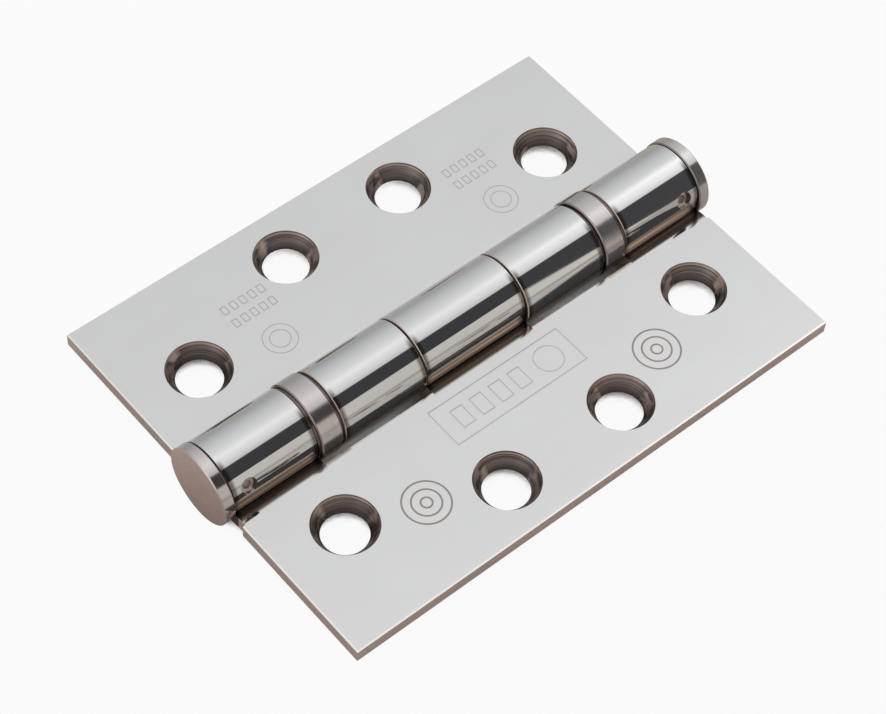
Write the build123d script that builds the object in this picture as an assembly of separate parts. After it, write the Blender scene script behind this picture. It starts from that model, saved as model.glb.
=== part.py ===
from build123d import *
import os
from math import atan2, cos, degrees, radians, sin, sqrt

# Ball bearing butt hinge, laid open flat with its countersunk faces up.
# The frame's origin is on the pin axis at mid-length. +Y runs along the barrel to the far end,
# +X crosses the front leaf and +Z is the side that the countersinks open to. Sizes are in mm.

# Leaves: two plates of one sheet thickness, rolled round the pin at their inner edges
leaf_length = 101.6
open_width = 76.2
leaf_thickness = 3.0
axis_above_face = 1.5
edge_chamfer = 0.25

# Rolled knuckles: the front leaf has the two end ones and the centre one, the rear leaf the rest
centre_knuckle_length = 21.6
rear_knuckle_length = 17.2
knuckle_gap = 0.1
knuckle_setback = 0.5
bend_start = 9.4
seam_gap = 0.15
tail_radius = 5.6
tail_start_angle = 46.0
tail_flat_angle = -1.7
knuckle_chamfer = 0.25
notch_clearance = 1.2

# Screw holes: the end pair of each leaf is nearer the barrel than the middle pair
end_hole_from_end = 12.9
end_hole_from_edge = 19.0
middle_hole_spacing = 24.7
middle_hole_from_edge = 9.4
hole_diameter = 8.1
countersink_diameter = 11.4
hole_land = 0.4

# Pin and the end caps that close the bore
pin_diameter = 7.9
pin_clearance = 0.05
pin_end_gap = 0.1
pin_chamfer = 0.4
cap_diameter = 14.4
cap_thickness = 2.2
cap_chamfer = 0.2
stem_length = 6.0
stem_groove_depth = 0.6

# Grub screws that lock the cap stems
screw_diameter = 3.0
screw_clearance = 0.05
screw_setback = 3.3
screw_angle = 24.0
screw_recess = 0.9
screw_tip_gap = 0.05
screw_cone = 0.3
socket_across_flats = 1.5
socket_depth = 1.2

# Thrust bearings between each end knuckle and the rear leaf's knuckle next to it
bearing_width = 5.2
casing_width = 4.2
casing_wall = 0.45
casing_chamfer = 0.2
race_bore_clearance = 0.2
fixed_race_clearance = 0.02
turning_race_clearance = 0.15
ball_diameter = 2.0
ball_count = 8
ball_clearance = 0.035
groove_depth = 0.25
cage_thickness = 0.9
cage_clearance = 0.15
cage_rim = 0.2
pocket_clearance = 0.05

# How far a cutting tool runs past what it cuts, and how close two radii are to count as one
tool_overrun = 1.0
radius_tolerance = 1e-4

# Sizes that follow from the ones above
pin_radius = pin_diameter / 2
bore_radius = pin_radius + pin_clearance
knuckle_radius = bore_radius + leaf_thickness
face_z = -axis_above_face
back_z = face_z - leaf_thickness
mid_z = (face_z + back_z) / 2
leaf_edge = open_width / 2
leaf_end = leaf_length / 2
notch_edge = knuckle_radius + notch_clearance
centre_knuckle_end = centre_knuckle_length / 2
rear_knuckle_start = centre_knuckle_end + knuckle_gap
rear_knuckle_end = rear_knuckle_start + rear_knuckle_length
end_knuckle_start = rear_knuckle_end + bearing_width
end_knuckle_end = leaf_end - knuckle_setback
stem_end = end_knuckle_end - stem_length
pin_end = stem_end - pin_end_gap
screw_y = end_knuckle_end - screw_setback
screw_hole_radius = screw_diameter / 2 + screw_clearance
groove_floor = pin_radius - stem_groove_depth
bearing_mid = rear_knuckle_end + bearing_width / 2
race_bore = pin_radius + race_bore_clearance
groove_radius = ball_diameter / 2 + ball_clearance
race_face = groove_radius - groove_depth
pocket_radius = ball_diameter / 2 + pocket_clearance
pitch_radius = pin_radius + cage_clearance + cage_rim + pocket_radius
cage_radius = pitch_radius + pocket_radius + cage_rim
casing_bore = cage_radius + cage_clearance
casing_radius = casing_bore + casing_wall

FRONT_KNUCKLES = [
    (-end_knuckle_end, -end_knuckle_start),
    (-centre_knuckle_end, centre_knuckle_end),
    (end_knuckle_start, end_knuckle_end),
]
REAR_KNUCKLES = [
    (-rear_knuckle_end, -rear_knuckle_start),
    (rear_knuckle_start, rear_knuckle_end),
]
ENDS = {"near": -1, "far": 1}
CUT_DEPTHS = (back_z - tool_overrun, face_z + tool_overrun)


def block(x_range, y_range, z_range):
    """A rectangular solid between the given limits."""
    size = [high - low for low, high in (x_range, y_range, z_range)]
    middle = [(high + low) / 2 for low, high in (x_range, y_range, z_range)]
    return Pos(*middle) * Box(*size)


def tube(outer, bore, start, end):
    """A plain ring round the pin axis, between two places along it."""
    ring = Cylinder(outer, end - start) - Cylinder(bore, end - start)
    return Pos(0, (start + end) / 2, 0) * Rot(90, 0, 0) * ring


def rod(radius, start, end):
    """A solid round bar on the pin axis."""
    return Pos(0, (start + end) / 2, 0) * Rot(90, 0, 0) * Cylinder(radius, end - start)


def end_circles(solid, radius):
    """The round edges of the given radius that bound a turned piece."""
    return [e for e in solid.edges().filter_by(GeomType.CIRCLE) if abs(e.radius - radius) < radius_tolerance]


def on_circle(centre, radius, angle):
    """A point of a section drawn in X and Z."""
    return (centre[0] + radius * cos(radians(angle)), centre[1] + radius * sin(radians(angle)))


def arc(centre, radius, start, end):
    """An arc of a section, from one angle to another in degrees."""
    angles = (start, (start + end) / 2, end)
    return ThreePointArc(*[on_circle(centre, radius, angle) for angle in angles])


def seam_point(start, slope, centre, radius):
    """Where the straight tail of a roll, run down from its start, comes to the seam's edge."""
    step = (sin(radians(slope)), -cos(radians(slope)))
    away = (start[0] - centre[0], start[1] - centre[1])
    along = away[0] * step[0] + away[1] * step[1]
    run = -along - sqrt(along**2 - away[0]**2 - away[1]**2 + radius**2)
    return (start[0] + run * step[0], start[1] + run * step[1])


def knuckle_section():
    """The rolled sheet: an easy bend down from the leaf, one turn round the pin, and a tail that is
    dressed thinner and flat where it comes down to the seam."""
    rise = bore_radius - axis_above_face
    bend_radius = (bend_start**2 / rise - (bore_radius + axis_above_face)) / 2
    bend_centre = (bend_start, face_z - bend_radius)
    leave_angle = degrees(atan2(bend_centre[1], bend_centre[0]))
    meet_angle = leave_angle + 180
    under_radius = bend_radius - leaf_thickness
    axis = (0, 0)
    tail_centre = on_circle(axis, knuckle_radius - tail_radius, tail_start_angle)
    flat_start = on_circle(tail_centre, tail_radius, tail_flat_angle)
    tail_tip = seam_point(flat_start, tail_flat_angle, bend_centre, bend_radius + seam_gap)
    tip_angle = degrees(atan2(tail_tip[1], tail_tip[0])) - 360
    outline = [
        arc(bend_centre, under_radius, 90, meet_angle),
        arc(axis, knuckle_radius, leave_angle, tail_start_angle - 360),
        arc(tail_centre, tail_radius, tail_start_angle, tail_flat_angle),
        Line(flat_start, tail_tip),
        Line(tail_tip, on_circle(axis, bore_radius, tip_angle)),
        arc(axis, bore_radius, tip_angle, leave_angle),
        arc(bend_centre, bend_radius, meet_angle, 90),
        Line((bend_start, face_z), (bend_start, back_z)),
    ]
    return make_face(outline)


def outer_rims(roll):
    """The end edges of a roll's outside, from the neck round to the seam."""
    upright = [e for e in roll.edges().filter_by(GeomType.LINE) if abs(e.tangent_at(0).Z) > 0.9]
    flats = [e for e in upright if e.center().X < knuckle_radius]
    return end_circles(roll, knuckle_radius) + end_circles(roll, tail_radius) + flats


def knuckle(section, start, end):
    """One rolled knuckle with the neck that joins it to its leaf."""
    roll = extrude(Plane.XZ * section, amount=-(end - start))
    roll = Pos(0, start, 0) * roll
    return chamfer(outer_rims(roll), knuckle_chamfer)


def screw_holes():
    """The four countersunk holes of one leaf, as a tool to cut with."""
    cone_depth = leaf_thickness - hole_land
    cone = Cone(hole_diameter / 2, countersink_diameter / 2, cone_depth)
    cone = Pos(0, 0, face_z - cone_depth / 2) * cone
    shank = Pos(0, 0, mid_z) * Cylinder(hole_diameter / 2, leaf_thickness + tool_overrun)
    end_x = leaf_edge - end_hole_from_edge
    middle_x = leaf_edge - middle_hole_from_edge
    end_y = leaf_end - end_hole_from_end
    middle_y = middle_hole_spacing / 2
    places = [(end_x, -end_y), (middle_x, -middle_y), (middle_x, middle_y), (end_x, end_y)]
    return [Pos(x, y, 0) * (cone + shank) for x, y in places]


def leaf_plate(knuckles):
    """The flat of a leaf: notched for the other leaf's knuckles and cut back where its own begin."""
    plate = block((notch_edge, leaf_edge), (-leaf_end, leaf_end), (back_z, face_z))
    rims = plate.faces().filter_by(Axis.Z).edges()
    plate = chamfer([e for e in rims if e.center().X > notch_edge + edge_chamfer], edge_chamfer)
    for start, end in knuckles:
        past_start = -leaf_end - tool_overrun if start == -end_knuckle_end else start
        past_end = leaf_end + tool_overrun if end == end_knuckle_end else end
        plate -= block((notch_edge - tool_overrun, bend_start), (past_start, past_end), CUT_DEPTHS)
    return plate


def leaf(knuckles):
    """A whole leaf on the +X side, one piece of sheet."""
    section = knuckle_section()
    body = leaf_plate(knuckles)
    for start, end in knuckles:
        body += knuckle(section, start, end)
    for hole in screw_holes():
        body -= hole
    return body


def radial(shape, y):
    """Turn a shape that points along +Z to the grub screws' direction, at a place on the axis."""
    return Pos(0, y, 0) * Rot(0, 90 - screw_angle, 0) * shape


def front_leaf():
    body = leaf(FRONT_KNUCKLES)
    reach = knuckle_radius + tool_overrun
    drill = Pos(0, 0, reach / 2) * Cylinder(screw_hole_radius, reach)
    for side in ENDS.values():
        body -= radial(drill, side * screw_y)
    return body


def rear_leaf():
    return mirror(leaf(REAR_KNUCKLES), Plane.YZ)


def hinge_pin():
    pin = rod(pin_radius, -pin_end, pin_end)
    return chamfer(end_circles(pin, pin_radius), pin_chamfer)


def end_cap():
    """A turned disc with a stem, made for the far end."""
    disc = rod(cap_diameter / 2, end_knuckle_end, end_knuckle_end + cap_thickness)
    disc = chamfer(end_circles(disc, cap_diameter / 2), cap_chamfer)
    stem = rod(pin_radius, stem_end, end_knuckle_end)
    stem = chamfer([e for e in end_circles(stem, pin_radius) if e.center().Y < screw_y], screw_cone)
    groove_half = screw_hole_radius + screw_clearance
    groove = tube(pin_radius + tool_overrun, groove_floor, screw_y - groove_half, screw_y + groove_half)
    return disc + stem - groove


def set_screw():
    """A headless screw with a hexagon socket and a cone point, drawn along +Z from the pin axis."""
    tip = groove_floor + screw_tip_gap
    top = knuckle_radius - screw_recess
    radius = screw_diameter / 2
    shank = Pos(0, 0, (tip + screw_cone + top) / 2) * Cylinder(radius, top - tip - screw_cone)
    point = Pos(0, 0, tip + screw_cone / 2) * Cone(radius - screw_cone, radius, screw_cone)
    hexagon = RegularPolygon(socket_across_flats / 2, 6, major_radius=False)
    socket = Pos(0, 0, top - socket_depth) * extrude(hexagon, amount=socket_depth + tool_overrun)
    return shank + point - socket


def bearing_casing():
    """The ring that shows between two knuckles and shrouds the races."""
    half = casing_width / 2
    ring = tube(casing_radius, casing_bore, bearing_mid - half, bearing_mid + half)
    return chamfer(end_circles(ring, casing_radius), casing_chamfer)


def ball_track():
    return Pos(0, bearing_mid, 0) * Rot(90, 0, 0) * Torus(pitch_radius, groove_radius)


def fixed_race():
    """The race on the end knuckle's side, seated in the casing."""
    ring = tube(casing_bore - fixed_race_clearance, race_bore, bearing_mid + race_face, end_knuckle_start)
    return ring - ball_track()


def turning_race():
    """The race on the rear leaf's side, clear of the casing."""
    ring = tube(casing_bore - turning_race_clearance, race_bore, rear_knuckle_end, bearing_mid - race_face)
    return ring - ball_track()


def ball_places():
    """The centre of each ball, evenly spaced round the pin."""
    step = 360 / ball_count
    angles = [step * i for i in range(ball_count)]
    return [(pitch_radius * cos(radians(a)), bearing_mid, pitch_radius * sin(radians(a))) for a in angles]


def ball_cage():
    """The ring that keeps the balls apart, with one round pocket each."""
    half = cage_thickness / 2
    ring = tube(cage_radius, pin_radius + cage_clearance, bearing_mid - half, bearing_mid + half)
    pocket = Rot(90, 0, 0) * Cylinder(pocket_radius, cage_thickness + tool_overrun)
    for place in ball_places():
        ring -= Pos(*place) * pocket
    return ring


def at_end(shape, side):
    """The same piece at the far end, or its mirror image at the near end."""
    return shape if side > 0 else mirror(shape, Plane.XZ)


def pieces():
    """Every piece of the hinge by its name."""
    made = {"front_leaf": front_leaf(), "rear_leaf": rear_leaf(), "hinge_pin": hinge_pin()}
    cap = end_cap()
    screw = set_screw()
    bearing = {
        "bearing_casing": bearing_casing(),
        "fixed_race": fixed_race(),
        "turning_race": turning_race(),
        "ball_cage": ball_cage(),
    }
    for end, side in ENDS.items():
        made[f"{end}_end_cap"] = at_end(cap, side)
        made[f"{end}_set_screw"] = radial(screw, side * screw_y)
        for name, shape in bearing.items():
            made[f"{end}_{name}"] = at_end(shape, side)
        for number, place in enumerate(ball_places(), start=1):
            ball = Pos(*place) * Sphere(ball_diameter / 2)
            made[f"{end}_ball_{number:02d}"] = at_end(ball, side)
    return made


os.makedirs("parts", exist_ok=True)
for name, shape in pieces().items():
    export_step(shape, f"parts/{name}.step")
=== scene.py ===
from math import cos, pi, radians, sin

import bpy
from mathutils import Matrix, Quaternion, Vector


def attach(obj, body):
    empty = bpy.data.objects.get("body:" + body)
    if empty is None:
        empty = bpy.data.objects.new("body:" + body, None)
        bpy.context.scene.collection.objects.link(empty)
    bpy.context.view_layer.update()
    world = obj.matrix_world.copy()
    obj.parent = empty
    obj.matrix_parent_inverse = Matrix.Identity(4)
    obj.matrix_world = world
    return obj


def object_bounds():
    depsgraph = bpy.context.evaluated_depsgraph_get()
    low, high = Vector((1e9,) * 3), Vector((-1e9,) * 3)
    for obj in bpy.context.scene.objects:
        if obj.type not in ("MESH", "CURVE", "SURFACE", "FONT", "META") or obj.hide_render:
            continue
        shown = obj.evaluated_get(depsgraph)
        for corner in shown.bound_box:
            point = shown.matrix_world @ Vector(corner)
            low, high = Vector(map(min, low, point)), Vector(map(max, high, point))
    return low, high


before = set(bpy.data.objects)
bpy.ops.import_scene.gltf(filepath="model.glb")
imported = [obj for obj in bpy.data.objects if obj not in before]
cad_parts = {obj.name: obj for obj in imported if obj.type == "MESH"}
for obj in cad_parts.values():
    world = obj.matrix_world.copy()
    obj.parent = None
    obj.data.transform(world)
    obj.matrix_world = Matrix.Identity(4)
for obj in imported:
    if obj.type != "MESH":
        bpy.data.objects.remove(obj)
CAD_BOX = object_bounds()

# Sizes in metres, in the hinge's own frame: the pin axis is Y, the leaves lie in X
mm = 0.001
leaf_face = -1.5 * mm
leaf_middle = -3.0 * mm
end_hole = (19.1 * mm, 37.9 * mm, 0.0)
middle_hole = (28.7 * mm, 12.35 * mm, 0.0)
knuckle_ends = [10.85 * mm, 28.1 * mm, 33.3 * mm, 50.3 * mm]
corner_lean = 0.9

# Distances between which a finish eases in or out, from an axis, a plane or a hole's centre
plate_starts = (7.6 * mm, 7.7 * mm)
rim_ends = (5.72 * mm, 5.75 * mm)
burr_starts = (5.38 * mm, 5.46 * mm)
burr_ends = (5.50 * mm, 5.56 * mm)
wall_foot_ends = (-4.2 * mm, -2.6 * mm)
bend_starts = (5.6 * mm, 6.4 * mm)
bend_ends = (8.2 * mm, 9.0 * mm)
bend_top = (0.4 * mm, 1.8 * mm)
rear_roll_starts = (10.8 * mm, 10.9 * mm)
rear_roll_ends = (28.0 * mm, 28.1 * mm)
rear_neck_fade = 0.75
# Painted shade on the knuckles near their ends: where it starts along X, how far it reaches from
# an end, and its share
joint_shade_starts = (1.0 * mm, 3.0 * mm)
joint_shade_reach = (0.54 * mm, 1.35 * mm)
joint_shade_share = 0.85
under_starts = (0.0, 2.0 * mm)
under_top = (4.4 * mm, 5.4 * mm)
lip_starts = (6.86 * mm, 6.90 * mm)
inner_joints_end = (40.0 * mm, 41.0 * mm)
outer_face_starts = (52.0 * mm, 52.3 * mm)

# Slopes between which a finish eases in or out, as parts of the normal
wall_slope_ends = (0.8, 0.9)
edge_slope_ends = (0.4, 0.55)
corner_slope_starts = (0.55, 0.65)
corner_slope_ends = (0.78, 0.9)
knuckle_end_slope = (0.45, 0.6)
cap_end_slope = (0.5, 0.8)
# Hole-wall flanks, by the product of their normal's X and Y parts, where glints are painted
glint_flank_slope = (0.02, 0.16)

# How closely the marks lie, to a metre, and along X, Y and Z where they are drawn out.
# The arcs on end faces lie closely outward from the axis and loosely round it.
haze_grain = 70.0
rub_grain = (260.0, 24.0, 260.0)
streak_grain = (1100.0, 16.0, 1100.0)
lathe_grain = (60.0, 60.0, 7000.0)
mottle_grain = 420.0
patch_grain = (350.0, 350.0, 900.0)
ring_grain = (25.0, 8000.0, 25.0)
arc_grain_outward = 2600.0
arc_grain_round = 90.0
cloud_grain = 120.0
plain_grain = 1500.0

# Depths of the fine marks that only roughen a surface
haze_depth = 0.6e-6
streak_depth = 1.3e-6
lathe_depth = 1.6e-6
saw_depth = 5e-6
arc_depth = 2e-6
grain_depth = 1e-6

# Tones of the metal
leaf_deep = (0.765, 0.755, 0.74)
leaf_pale = (0.835, 0.83, 0.82)
turned_deep = (0.12, 0.105, 0.10)
turned_pale = (0.35, 0.30, 0.275)
# Painted shade at the foot of the countersink walls
wall_foot_shade_tone = (0.15, 0.125, 0.115)
# Painted glints in patches on the hole walls' flanks
glint_patch_tone = (0.85, 0.72, 0.66)
burr_tone = (0.62, 0.44, 0.34)
# Painted shade in the crease under the knuckles, streaked with painted copper glints
neck_shade_tone = (0.30, 0.245, 0.215)
neck_glint_tone = (0.88, 0.74, 0.62)
# Painted shade on the knuckles next to their joints
joint_shade_tone = (0.15, 0.12, 0.11)
sawn_deep = (0.73, 0.585, 0.545)
sawn_pale = (0.845, 0.68, 0.64)
# Painted highlight: near-white cream on the plates' chamfered edges
corner_highlight_tone = (0.97, 0.92, 0.86)
# Painted shade on the knuckles' end chamfers, in the grooves between knuckles
knuckle_end_shade_tone = (0.13, 0.095, 0.085)
# Painted highlight on the outer rim of the knuckles' end chamfers
lip_highlight_tone = (0.78, 0.66, 0.58)
# Painted shade on the end faces that sit inside the barrel's joints
inner_end_shade_tone = (0.30, 0.25, 0.23)

# Turned pieces: tones of their lines and end faces, the lines' depth and the roughness
casing_look = {
    "pale": (0.78, 0.74, 0.72),
    "dark": (0.58, 0.53, 0.51),
    "face": (0.45, 0.35, 0.32),
    "depth": 1.2e-6,
    "rough": 0.15,
}
cap_look = {
    "pale": (0.76, 0.73, 0.70),
    "dark": (0.62, 0.58, 0.55),
    "face": (0.60, 0.455, 0.43),
    "depth": 1.5e-6,
    "rough": 0.1,
}

# Their end faces are clouded, and painted light pales them towards the top on the rear leaf's side
face_pale = 1.5
painted_light_tilt = 0.8
painted_light_rise = 42.0
painted_light_base = -0.32

# Roughness of the finishes, and what the marks add to it
polish_rough = 0.03
haze_rough = 0.035
rub_rough = 0.02
neck_rough = 0.14
corner_rough = 0.2
wall_rough = 0.36
cut_rough = 0.38
end_rough = 0.34
ring_rough = 0.08
grain_rough = 0.06

# Etched outlines on both leaves: the line's height and widths, and places and sizes
etch_height = 0.02 * mm
seal_line = 0.32 * mm
panel_line = 0.22 * mm
faint_line = 0.18 * mm
seal_radius = 4.05 * mm
seal_rings = (1.0, 0.62, 0.24)
seal_places = [(23.9 * mm, -25.2 * mm), (24.5 * mm, 24.3 * mm)]
panel_x = (10.9 * mm, 18.7 * mm)
panel_y = (-14.1 * mm, 13.8 * mm)
panel_boxes = 4
panel_box_half = (1.9 * mm, 1.2 * mm)
panel_box_first = 4.2 * mm
panel_box_step = 4.1 * mm
panel_ring_from_end = 5.0 * mm
panel_ring_radius = 2.6 * mm
faint_rows = [-23.6 * mm, 24.8 * mm]
faint_x = -22.8 * mm
faint_boxes = 5
faint_box_half = (0.8 * mm, 0.5 * mm)
faint_box_step = 1.9 * mm
faint_row_step = 3.2 * mm
faint_ring_x = -15.8 * mm
faint_ring_radii = (3.0 * mm, 1.8 * mm)

# Camera, as the photograph was taken
view_azimuth = 46.05
view_elevation = 54.2
view_roll = 4.74
view_distance = 424.0 * mm
view_aim = Vector((4.52, -5.58, 0)) * mm
lens_width = 36.0
lens_length = 104.67

# Light tent: a half round of glowing cloth over the hinge, with one black slot along it.
# Angles are in degrees up from +X, lengths along it in metres from the hinge's middle.
tent_radius = 1.2
tent_reach = 3.0
tent_steps = 64
slot_low = 31.0
slot_high = 66.0
slot_edge = 1.2
slot_glow = 0.05
slot_near_end = (-0.05, 0.05)
slot_far_end = (0.84, 0.90)

# Beyond a distance the slot's low edge falls, by so many degrees to a metre
slot_drop_from = 0.577
slot_drop = 206.0

# The cloth's glow by angle, and how much it grows at the far end, where along and up to where
far_lift = 0.28
far_lift_along = (0.5, 0.85)
far_lift_angle = (98.0, 118.0)
cloth_glow = [
    (0, (0.60, 0.57, 0.52)),
    (31, (0.605, 0.595, 0.575)),
    (66, (0.62, 0.62, 0.63)),
    (78, (0.78, 0.79, 0.80)),
    (98, (0.97, 0.98, 1.0)),
    (112, (0.82, 0.83, 0.85)),
    (119, (0.768, 0.778, 0.793)),
    (180, (0.38, 0.39, 0.41)),
]

# Floor: pale cloth, open to the camera but for a shade close to the hinge
floor_size = 6.0
floor_tone = (0.60, 0.57, 0.53)
floor_glow = 0.94
shade_reach = 30 * mm
shade_edge = (0.12, 0.17)


class Number:
    """A number that varies over a surface. Sums and products of these add Math nodes."""

    def __init__(self, graph, socket):
        self.graph = graph
        self.socket = socket

    def math(self, operation, *values):
        return self.graph.add("ShaderNodeMath", {"operation": operation}, dict(enumerate(values)))

    def __add__(self, other):
        return self.math("ADD", self, other)

    __radd__ = __add__

    def __sub__(self, other):
        return self.math("SUBTRACT", self, other)

    def __rsub__(self, other):
        return self.math("SUBTRACT", other, self)

    def __mul__(self, other):
        return self.math("MULTIPLY", self, other)

    __rmul__ = __mul__

    def __truediv__(self, other):
        return self.math("DIVIDE", self, other)

    def __abs__(self):
        return self.math("ABSOLUTE", self)

    def least(self, other):
        return self.math("MINIMUM", self, other)

    def most(self, other):
        return self.math("MAXIMUM", self, other)


class Graph:
    """The nodes of one material or world."""

    def __init__(self, owner):
        owner.use_nodes = True
        self.tree = owner.node_tree
        self.tree.nodes.clear()

    def add(self, kind, settings=None, sockets=None, output=0):
        """A node of one type. Its settings are set first, then its sockets are set or linked."""
        node = self.tree.nodes.new(kind)
        for name, value in (settings or {}).items():
            if name == "stops":
                self.set_stops(node.color_ramp, value)
            else:
                setattr(node, name, value)
        for name, value in (sockets or {}).items():
            self.feed(node.inputs[name], value)
        return Number(self, node.outputs[output]) if node.outputs else None

    def set_stops(self, ramp, stops):
        while len(ramp.elements) < len(stops):
            ramp.elements.new(1.0)
        for element, (place, colour) in zip(ramp.elements, stops):
            element.position = place
            element.color = (*colour, 1.0)

    def feed(self, socket, value):
        if isinstance(value, Number):
            self.tree.links.new(value.socket, socket)
        elif isinstance(value, tuple) and len(value) == 3 and len(socket.default_value) == 4:
            socket.default_value = (*value, 1.0)
        else:
            socket.default_value = value

    def place(self):
        return self.add("ShaderNodeTexCoord", output="Object")

    def normal(self):
        """How far the surface faces along X, Y and Z, from -1 to 1."""
        return self.parts(self.add("ShaderNodeTexCoord", output="Normal"))

    def vector(self, x, y, z):
        return self.add("ShaderNodeCombineXYZ", None, {0: x, 1: y, 2: z})

    def distance(self, first, second):
        sockets = {0: first, 1: second}
        return self.add("ShaderNodeVectorMath", {"operation": "DISTANCE"}, sockets, "Value")

    def parts(self, vector):
        first = self.add("ShaderNodeSeparateXYZ", sockets={"Vector": vector})
        return [Number(self, output) for output in first.socket.node.outputs]

    def ease(self, value, low, high):
        """0 below low, 1 above high, and a smooth step between."""
        sockets = {"Value": value, "From Min": low, "From Max": high}
        return self.add("ShaderNodeMapRange", {"interpolation_type": "SMOOTHSTEP"}, sockets)

    def mix(self, share, first, second):
        """A colour between two others."""
        sockets = {"Factor": share, 6: first, 7: second}
        return self.add("ShaderNodeMix", {"data_type": "RGBA"}, sockets, output=2)

    def noise(self, vector, scale, detail=2.0):
        sockets = {"Vector": vector, "Scale": scale, "Detail": detail}
        return self.add("ShaderNodeTexNoise", None, sockets)

    def stretch(self, vector, scale):
        sockets = {"Vector": vector, "Scale": scale}
        return self.add("ShaderNodeMapping", None, sockets)

    def bump(self, height, depth=1.0):
        sockets = {"Height": height, "Distance": depth, "Strength": 1.0}
        return self.add("ShaderNodeBump", None, sockets)

    def scale(self, colour, share):
        sockets = {0: colour, "Scale": share}
        return self.add("ShaderNodeVectorMath", {"operation": "SCALE"}, sockets)

    def metal(self, colour, roughness, normal):
        sockets = {"Base Color": colour, "Metallic": 1.0, "Roughness": roughness, "Normal": normal}
        return self.add("ShaderNodeBsdfPrincipled", None, sockets)

    def finish(self, surface, kind="ShaderNodeOutputMaterial"):
        self.add(kind, None, {"Surface": surface})


def material(name):
    made = bpy.data.materials.new(name)
    return made, Graph(made)


def leaf_regions(graph, place):
    """Where a leaf has cut, turned and bent places, and where shade and highlights are painted on
    it, as shares from 0 to 1 by their names.
    """
    x, y, z = graph.parts(place)
    normal = graph.normal()
    along, up = abs(normal[1]), abs(normal[2])
    on_plate = graph.ease(abs(x), *plate_starts)
    on_roll = 1 - on_plate
    folded = graph.vector(abs(x), abs(y), 0.0)
    from_hole = graph.distance(folded, end_hole).least(graph.distance(folded, middle_hole))
    in_hole = 1 - graph.ease(from_hole, *rim_ends)
    beside_holes = (1 - in_hole) * on_plate
    wall = in_hole * on_plate * (1 - graph.ease(up, *wall_slope_ends))
    burr = graph.ease(from_hole, *burr_starts) * (1 - graph.ease(from_hole, *burr_ends))
    corner = graph.ease(up, *corner_slope_starts) * (1 - graph.ease(up, *corner_slope_ends))
    knuckle_end = on_roll * graph.ease(along, *knuckle_end_slope)
    from_axis = graph.distance(graph.vector(x, z, 0.0), (0.0, 0.0, 0.0))
    lip = graph.ease(from_axis, *lip_starts) * (1 - graph.ease(abs(y), *inner_joints_end))
    # The crease under the knuckles, where shade and glints are painted
    bend = graph.ease(x, *bend_starts) * (1 - graph.ease(x, *bend_ends))
    bend = bend * (1 - graph.ease(z, *bend_top))
    rear_roll = graph.ease(abs(y), *rear_roll_starts) * (1 - graph.ease(abs(y), *rear_roll_ends))
    to_end = 1.0
    for end in knuckle_ends:
        to_end = abs(abs(y) - end).least(to_end)
    # Painted shade close to each knuckle end
    joint_shade = (1 - graph.ease(to_end, *joint_shade_reach)) * graph.ease(x, *joint_shade_starts)
    return {
        "wall": wall,
        "wall_foot": 1 - graph.ease(z, *wall_foot_ends),
        # Flanks of the hole walls where glints are painted
        "glint_flank": graph.ease(normal[0] * normal[1], *glint_flank_slope),
        "burr": wall * burr,
        "edge": beside_holes * (1 - graph.ease(up, *edge_slope_ends)),
        "corner": beside_holes * corner,
        "knuckle_end": knuckle_end,
        "lip": knuckle_end * lip,
        "neck": bend * (1 - rear_neck_fade * rear_roll),
        "joint_shade": joint_shade_share * on_roll * joint_shade,
        "under": on_roll * graph.ease(x, *under_starts) * (1 - graph.ease(z, *under_top)),
        "lean": -corner_lean * abs(z - leaf_middle),
    }


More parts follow.
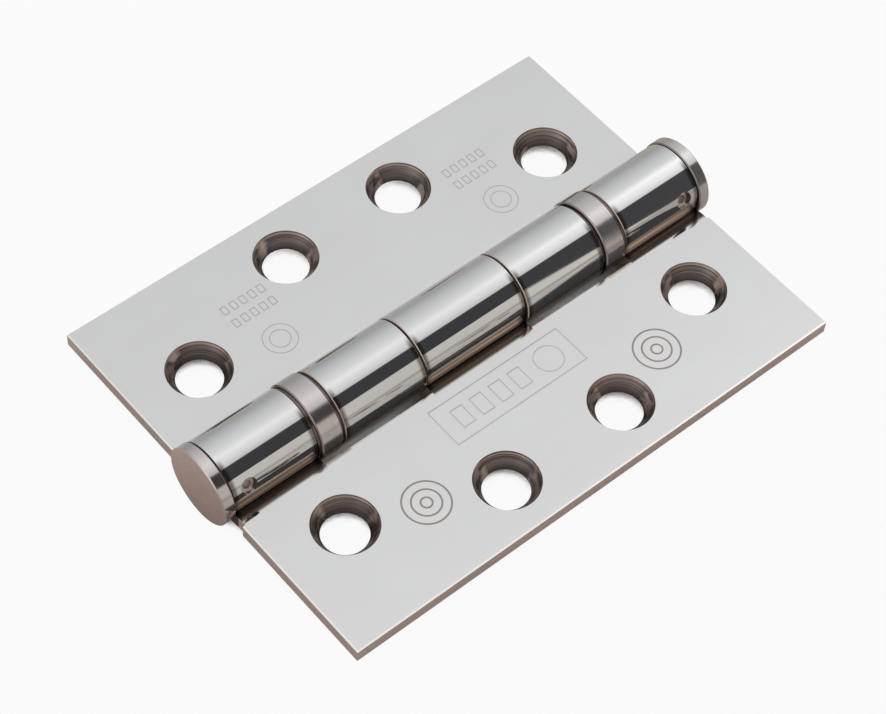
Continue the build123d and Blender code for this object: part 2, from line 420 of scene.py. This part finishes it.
def leaf_steel():
    """Mirror polish on the faces and knuckles, with turned countersinks and plain cut edges."""
    made, graph = material("leaf_steel")
    place = graph.place()
    part = leaf_regions(graph, place)

    haze = graph.noise(place, haze_grain, 3.0)
    rub = graph.noise(graph.stretch(place, rub_grain), 1.0, 3.0)
    streak = graph.ease(graph.noise(graph.stretch(place, streak_grain), 1.0, 3.0), 0.42, 0.66)
    lathe = graph.noise(graph.stretch(place, lathe_grain), 1.0)
    mottle = graph.noise(place, mottle_grain)
    patch = graph.ease(graph.noise(graph.stretch(place, patch_grain), 1.0), 0.4, 0.6)

    turned = graph.mix(graph.ease(lathe, 0.35, 0.65), turned_deep, turned_pale)
    # Painted shade: the hole walls darken towards their foot
    turned = graph.mix(part["wall_foot"], turned, wall_foot_shade_tone)
    # Painted glints: pale patches on the hole walls' flanks
    turned = graph.mix(0.9 * part["glint_flank"] * patch, turned, glint_patch_tone)
    colour = graph.mix(0.6 * haze + 0.4 * rub, leaf_deep, leaf_pale)
    # Painted shade with streaked painted glints in the crease under the knuckles
    colour = graph.mix(part["neck"], colour, graph.mix(streak, neck_shade_tone, neck_glint_tone))
    # Painted shade darkens the knuckles next to their joints
    colour = graph.mix(part["joint_shade"], colour, joint_shade_tone)
    colour = graph.mix(part["wall"], colour, turned)
    colour = graph.mix(part["burr"], colour, burr_tone)
    colour = graph.mix(part["edge"], colour, graph.mix(mottle, sawn_deep, sawn_pale))
    # Painted shade on the knuckles' end chamfers
    colour = graph.mix(part["knuckle_end"], colour, knuckle_end_shade_tone)
    # Painted highlight on the outer rim of the knuckle end chamfers
    colour = graph.mix(part["lip"], colour, lip_highlight_tone)
    # Painted highlight on the chamfered plate edges, with their normals leaned upward by the bump
    colour = graph.mix(part["corner"], colour, corner_highlight_tone)

    cut = part["edge"].most(part["knuckle_end"])
    polished = (1 - part["wall"]) * (1 - cut) * (1 - part["corner"])
    rough = (polish_rough + haze_rough * haze + rub_rough * rub) * polished
    rough = rough + wall_rough * part["wall"] + neck_rough * part["neck"]
    rough = rough + cut_rough * cut + corner_rough * part["corner"]
    height = part["lean"] * part["corner"] + haze_depth * haze * polished
    height = height + streak_depth * streak * part["under"] + lathe_depth * lathe * part["wall"]
    height = height + saw_depth * lathe * cut
    graph.finish(graph.metal(colour, rough, graph.bump(height)))
    return made


def turned_steel(name, look):
    """Satin metal with fine lathe lines round the pin axis and duller ends; painted light pales
    the outer end faces towards the top, painted shade darkens the inner ones.
    """
    made, graph = material(name)
    place = graph.place()
    x, y, z = graph.parts(place)
    end_face = graph.ease(abs(graph.normal()[1]), *cap_end_slope)
    lines = graph.noise(graph.stretch(place, ring_grain), 1.0)
    outward = graph.distance(graph.vector(x, z, 0.0), (0.0, 0.0, 0.0)) * arc_grain_outward
    arcs = graph.vector(outward, x * arc_grain_round, z * arc_grain_round)
    arcs = graph.noise(arcs, 1.0, 3.0)
    cloud_and_painted_light = 0.6 * graph.noise(place, cloud_grain, 3.0) + 0.9 * arcs
    # Painted light: the end faces pale towards the top on the rear leaf's side
    cloud_and_painted_light = cloud_and_painted_light + (z - painted_light_tilt * x) * painted_light_rise + painted_light_base
    dull = graph.mix(cloud_and_painted_light, look["face"], tuple(face_pale * part for part in look["face"]))
    # Painted shade: end faces inside the joints are darker than the outer ones
    dull = graph.mix(graph.ease(abs(y), *outer_face_starts), inner_end_shade_tone, dull)
    colour = graph.mix(end_face, graph.mix(lines, look["dark"], look["pale"]), dull)
    rough = (look["rough"] + ring_rough * lines) * (1 - end_face) + end_rough * end_face
    height = look["depth"] * lines * (1 - end_face) + arc_depth * arcs * end_face
    graph.finish(graph.metal(colour, rough, graph.bump(height)))
    return made


def plain_metal(name, colour, roughness):
    made, graph = material(name)
    grain = graph.noise(graph.place(), plain_grain)
    rough = roughness + grain_rough * grain
    graph.finish(graph.metal(colour, rough, graph.bump(grain, grain_depth)))
    return made


def dress_nodes():
    leaf = leaf_steel()
    casing = turned_steel("satin_steel", casing_look)
    cap = turned_steel("cap_steel", cap_look)
    ground = plain_metal("ground_steel", (0.20, 0.16, 0.15), 0.2)
    ball = plain_metal("ball_steel", (0.78, 0.77, 0.76), 0.05)
    brass = plain_metal("cage_brass", (0.72, 0.55, 0.28), 0.25)
    screw = plain_metal("screw_steel", (0.66, 0.58, 0.53), 0.22)
    finishes = {
        "leaf": leaf, "cap": cap, "casing": casing, "pin": ground, "race": ground,
        "ball_cage": brass, "screw": screw,
    }
    for name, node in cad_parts.items():
        finish = ball
        for word, metal in finishes.items():
            if word in name:
                finish = metal
        node.data.materials.clear()
        node.data.materials.append(finish)


def etched_line(name, leaf, outlines, width, finish):
    """Fine closed lines on a leaf's face, with a low rounded section."""
    section = [(-0.5, 0.0), (-0.25, 1.0), (0.25, 1.0), (0.5, 0.0)]
    points, faces = [], []
    for outline in outlines:
        first = len(points)
        count = len(outline)
        for i, point in enumerate(outline):
            point = Vector(point)
            before = (point - Vector(outline[i - 1])).normalized()
            after = (Vector(outline[(i + 1) % count]) - point).normalized()
            side = Vector((before.y + after.y, -before.x - after.x))
            side *= 2 / side.length_squared
            for across, up in section:
                spot = point + side * across * width
                points.append((spot.x, spot.y, leaf_face + up * etch_height))
        for i in range(count):
            here = first + 4 * i
            there = first + 4 * ((i + 1) % count)
            for j in range(3):
                faces.append((here + j, there + j, there + j + 1, here + j + 1))
    mesh = bpy.data.meshes.new(name)
    mesh.from_pydata(points, [], faces)
    mesh.materials.append(finish)
    made = bpy.data.objects.new(name, mesh)
    bpy.context.scene.collection.objects.link(made)
    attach(made, leaf)


def ring(centre, radius, steps):
    angles = [2 * pi * i / steps for i in range(steps)]
    return [(centre[0] + radius * cos(a), centre[1] + radius * sin(a)) for a in angles]


def box(centre, half_x, half_y):
    x, y = centre
    signs = [(-1, -1), (1, -1), (1, 1), (-1, 1)]
    return [(x + side * half_x, y + end * half_y) for side, end in signs]


def etched_marks():
    """Plain shapes only: round seals and a long panel in front, fainter rows at the rear."""
    etch = plain_metal("etch_grey", (0.36, 0.30, 0.27), 0.3)
    grey = plain_metal("etch_mid", (0.62, 0.59, 0.57), 0.3)
    pale = plain_metal("etch_pale", (0.56, 0.54, 0.52), 0.25)
    for i, place in enumerate(seal_places, start=1):
        outlines = [ring(place, share * seal_radius, 96) for share in seal_rings]
        etched_line(f"seal_{i}", "front_leaf", outlines, seal_line, etch)

    middle_x = sum(panel_x) / 2
    middle_y = sum(panel_y) / 2
    outlines = [box((middle_x, middle_y), middle_x - panel_x[0], middle_y - panel_y[0])]
    for k in range(panel_boxes):
        spot = (middle_x, panel_y[0] + panel_box_first + k * panel_box_step)
        outlines.append(box(spot, *panel_box_half))
    outlines.append(ring((middle_x, panel_y[1] - panel_ring_from_end), panel_ring_radius, 48))
    etched_line("panel", "front_leaf", outlines, panel_line, grey)

    outlines = []
    for middle in faint_rows:
        for k in range(faint_boxes):
            for row in (0, 1):
                spot = (faint_x - row * faint_row_step, middle + (k - 2) * faint_box_step)
                outlines.append(box(spot, *faint_box_half))
        for radius in faint_ring_radii:
            outlines.append(ring((faint_ring_x, middle), radius, 64))
    etched_line("faint_rows", "rear_leaf", outlines, faint_line, pale)


def half_round(name, radius, reach):
    """A half cylinder over the origin, along Y."""
    points = []
    for i in range(tent_steps + 1):
        angle = pi * i / tent_steps
        for y in (-reach, reach):
            points.append((radius * cos(angle), y, radius * sin(angle)))
    faces = [(2 * i, 2 * i + 1, 2 * i + 3, 2 * i + 2) for i in range(tent_steps)]
    mesh = bpy.data.meshes.new(name)
    mesh.from_pydata(points, [], faces)
    made = bpy.data.objects.new(name, mesh)
    bpy.context.scene.collection.objects.link(made)
    return made


def tent_glow():
    made, graph = material("tent_glow")
    x, y, z = graph.parts(graph.place())
    angle = z.math("ARCTAN2", z, x) * (180 / pi)
    stops = [(degrees / 180, tone) for degrees, tone in cloth_glow]
    cloth = graph.add("ShaderNodeValToRGB", {"stops": stops}, {"Fac": angle / 180})
    low_edge = slot_low - slot_drop * (y - slot_drop_from).most(0.0)
    slot = graph.ease(angle - low_edge, -slot_edge, slot_edge)
    slot = slot * (1 - graph.ease(angle, slot_high - slot_edge, slot_high + slot_edge))
    slot = slot * graph.ease(y, *slot_near_end) * (1 - graph.ease(y, *slot_far_end))
    colour = graph.mix(slot, cloth, (slot_glow, slot_glow, slot_glow * 1.08))
    lift = graph.ease(y, *far_lift_along) * (1 - graph.ease(angle, *far_lift_angle))
    colour = graph.scale(colour, 1 + far_lift * lift)
    graph.finish(graph.add("ShaderNodeEmission", None, {"Color": colour, "Strength": 1.0}))
    return made


def floor_finish():
    """Pale cloth. Through its open part the camera sees the white room, and a leaf below it."""
    made, graph = material("pale_floor")
    cloth = graph.add("ShaderNodeBsdfDiffuse", None, {"Color": floor_tone})
    clear = graph.add("ShaderNodeBsdfTransparent", None, {"Color": (1.0, 1.0, 1.0)})
    reach = {"Distance": shade_reach}
    open_sky = graph.add("ShaderNodeAmbientOcclusion", {"samples": 16}, reach, output="AO")
    seen_by_camera = graph.add("ShaderNodeLightPath", output="Is Camera Ray")
    share = seen_by_camera * floor_glow * graph.ease(open_sky, *shade_edge)
    graph.finish(graph.add("ShaderNodeMixShader", None, {0: share, 1: cloth, 2: clear}))
    return made


def studio():
    tent = half_round("tent", tent_radius, tent_reach)
    tent.data.materials.append(tent_glow())
    tent.visible_camera = False
    bpy.ops.mesh.primitive_plane_add(size=floor_size, location=(0, 0, CAD_BOX[0].z))
    floor = bpy.context.object
    floor.name = "floor"
    floor.data.materials.append(floor_finish())
    world = bpy.data.worlds.new("white_room")
    bpy.context.scene.world = world
    graph = Graph(world)
    sockets = {"Color": (1.0, 1.0, 1.0), "Strength": 1.0}
    graph.finish(graph.add("ShaderNodeBackground", None, sockets), "ShaderNodeOutputWorld")


def camera():
    azimuth = radians(view_azimuth)
    elevation = radians(view_elevation)
    back = Vector((sin(azimuth) * cos(elevation), -cos(azimuth) * cos(elevation), sin(elevation)))
    data = bpy.data.cameras.new("camera")
    data.sensor_width = lens_width
    data.lens = lens_length
    data.clip_start = 10 * mm
    made = bpy.data.objects.new("camera", data)
    made.location = view_aim + back * view_distance
    made.rotation_mode = "QUATERNION"
    roll = Quaternion((0, 0, 1), radians(view_roll))
    made.rotation_quaternion = back.to_track_quat("Z", "Y") @ roll
    bpy.context.scene.collection.objects.link(made)
    bpy.context.scene.camera = made


bpy.context.scene.view_settings.view_transform = "Standard"
dress_nodes()
etched_marks()
studio()
camera()
